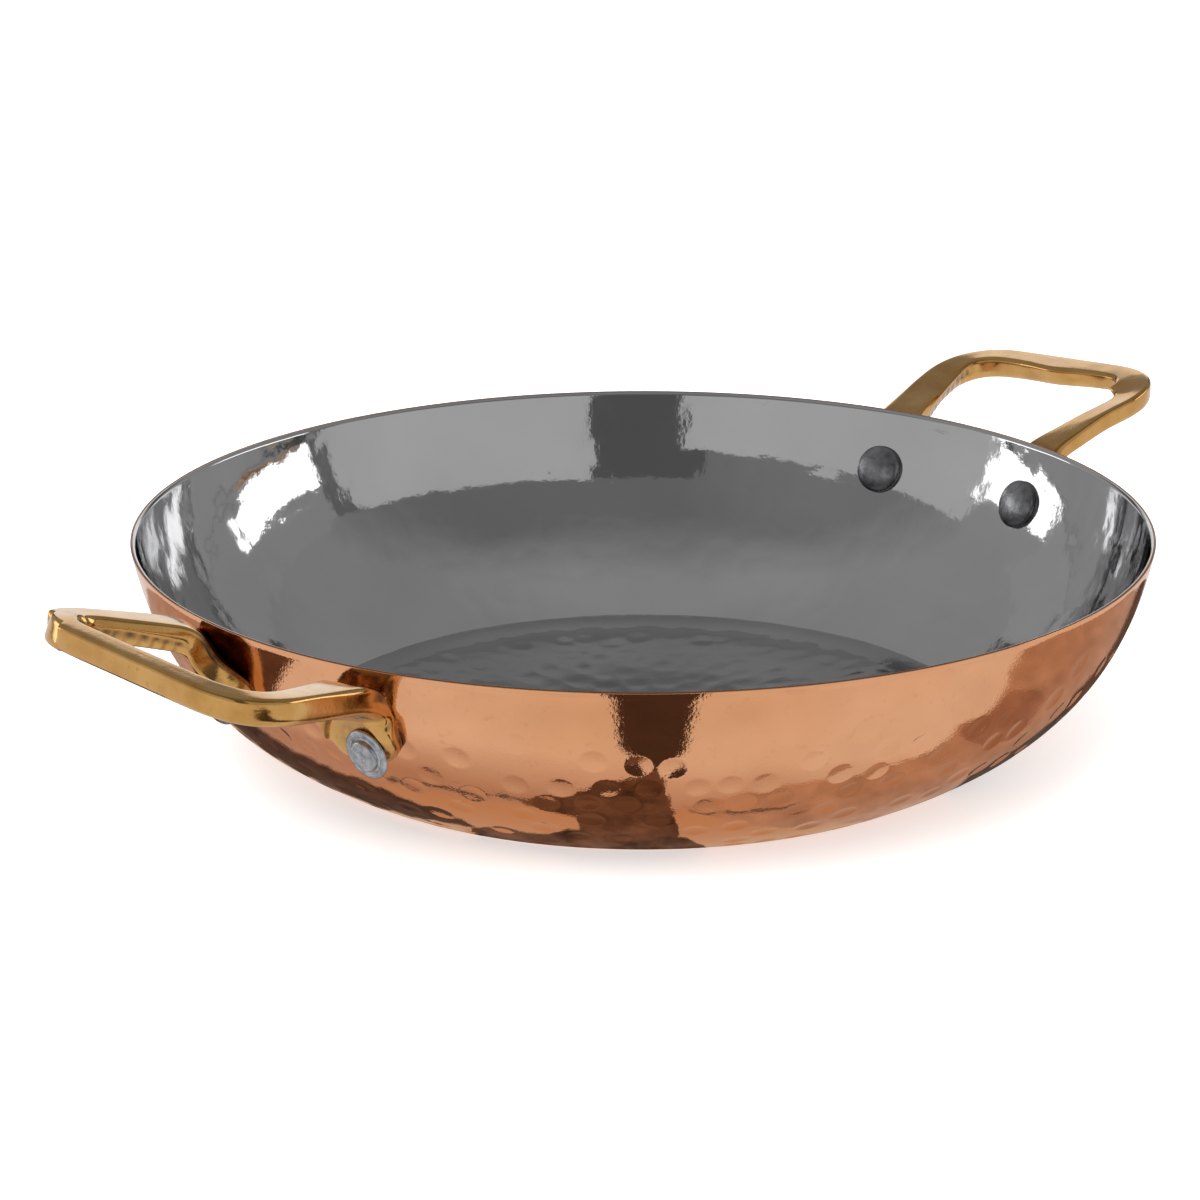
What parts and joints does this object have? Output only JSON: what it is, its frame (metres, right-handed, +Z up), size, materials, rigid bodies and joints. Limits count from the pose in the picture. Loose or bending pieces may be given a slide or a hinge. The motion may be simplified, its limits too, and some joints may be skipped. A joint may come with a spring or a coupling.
{
  "type": "balti dish",
  "caption": "Shallow round hammered dish with a flat base, a copper outside, a steel inside and brass loop handles riveted to its sides.",
  "frame": {"origin": "centre of the underside of the flat base, which is the middle of the bounding box's bottom face", "axes": "+Z up out of the dish, +X towards the right handle, +Y towards the back"},
  "size_m": [0.2963, 0.22, 0.057],
  "materials": {
    "copper": "hammered and polished copper",
    "steel": "planished and finely brushed stainless steel",
    "brass": "polished cast brass with file marks inside the loop",
    "aluminium": "dull peened aluminium"
  },
  "bodies": {
    "root": {"copper_shell": "copper", "steel_liner": "steel", "handle_right": "brass", "handle_left": "brass", "rivet_right_front": "aluminium", "rivet_right_back": "aluminium", "rivet_left_front": "aluminium", "rivet_left_back": "aluminium"}
  },
  "joints": []
}
